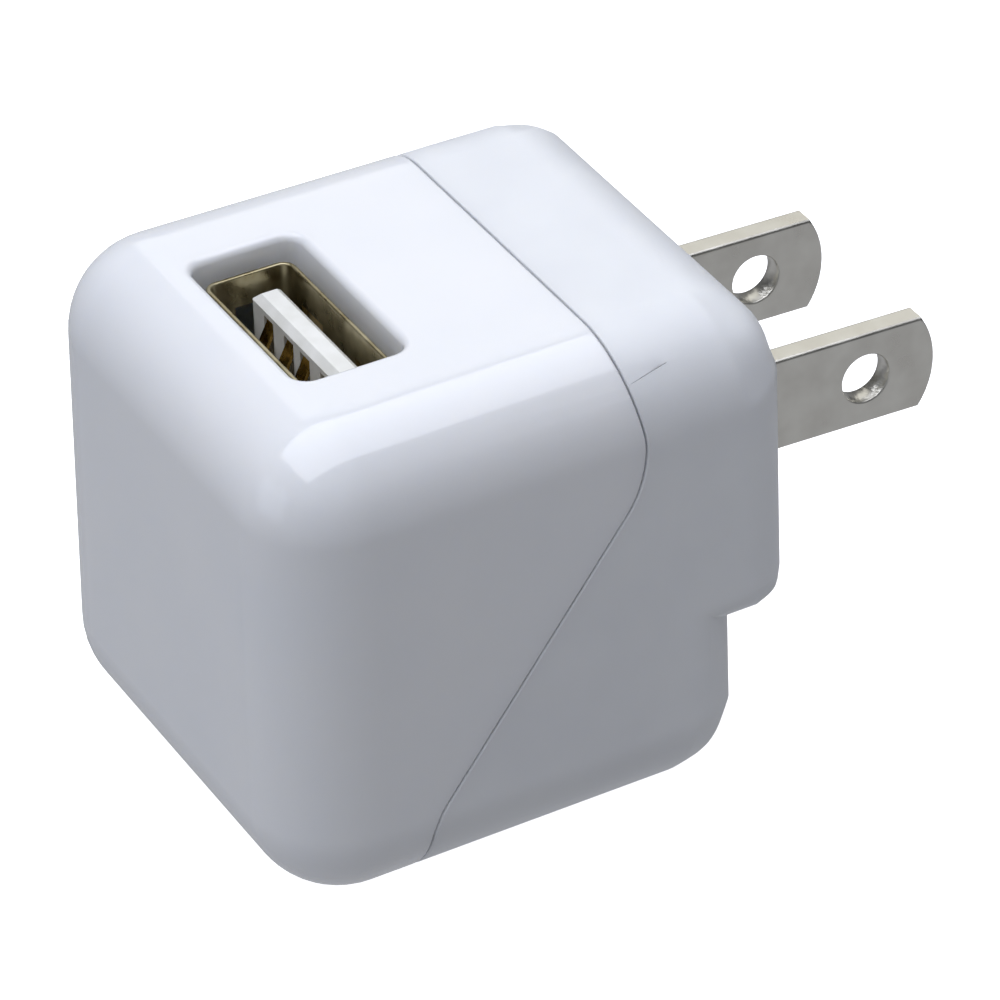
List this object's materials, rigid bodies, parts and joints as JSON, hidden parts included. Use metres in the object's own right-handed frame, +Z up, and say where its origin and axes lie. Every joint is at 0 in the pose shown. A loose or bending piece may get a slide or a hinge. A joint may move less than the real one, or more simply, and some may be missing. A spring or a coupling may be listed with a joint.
{
  "type": "usb wall charger",
  "caption": "Small cube-shaped mains charger: white two-part housing with an oblique seam, a USB-A port in the top and a pair of flat blades that fold down into slots in the wall face.",
  "frame": {"origin": "on the wall face, midway between the blades, on the blades' centreline", "axes": "+Y out of the wall face, along the blades into the wall; +Z up, towards the face with the USB port; +X across the two blades"},
  "size_m": [0.0324, 0.0479, 0.0314],
  "materials": {
    "gloss_shell": "moulded white polycarbonate and ABS, polished",
    "satin_shell": "moulded white polycarbonate and ABS, fine satin",
    "blade_nickel": "nickel-plated brass, stamped and tumbled",
    "pivot_nylon": "moulded glass-filled nylon",
    "phosphor_bronze": "rolled strip",
    "wire_sleeve": "extruded PVC",
    "board_laminate": "solder mask on glass-epoxy laminate",
    "ferrite": "sintered",
    "phenolic": "moulded",
    "winding_tape": "polyester tape over enamelled wire",
    "capacitor_sleeve": "heat-shrunk sleeve",
    "capacitor_sleeve_green": "heat-shrunk sleeve",
    "disc_ceramic": "dipped epoxy coating",
    "black_epoxy": "transfer-moulded",
    "resistor_lacquer": "cement lacquer",
    "white_epoxy": "transfer-moulded",
    "insulation_paper": "calendered",
    "port_steel": "nickel-plated stamped sheet",
    "port_plastic": "moulded PBT",
    "contact_brass": "stamped, flash-plated"
  },
  "bodies": {
    "charger": {"front_shell": "gloss_shell", "rear_cap": "satin_shell", "pivot_retainer": "satin_shell", "detent_spring": "phosphor_bronze", "contact_spring_left": "phosphor_bronze", "contact_spring_right": "phosphor_bronze", "supply_wires": "wire_sleeve", "main_board": "board_laminate", "transformer_core": "ferrite", "transformer_bobbin": "phenolic", "transformer_winding": "winding_tape", "input_capacitors": "capacitor_sleeve", "output_capacitor": "capacitor_sleeve_green", "y_capacitor": "disc_ceramic", "bridge_rectifier": "black_epoxy", "fusible_resistor": "resistor_lacquer", "filter_choke": "ferrite", "controller_chip": "black_epoxy", "optocoupler": "white_epoxy", "output_diode": "black_epoxy", "insulation_sheet": "insulation_paper", "usb_shell": "port_steel", "usb_insulator": "port_plastic", "usb_contacts": "contact_brass"},
    "blades": {"blade_left": "blade_nickel", "blade_right": "blade_nickel", "blade_pivot_pin": "pivot_nylon"}
  },
  "joints": [
    {"name": "blade_fold", "type": "hinge", "parent": "charger", "child": "blades", "pos_m": [0, -0.0042, 0], "axis": [-1, 0, 0], "range_deg": [0, 90]}
  ]
}
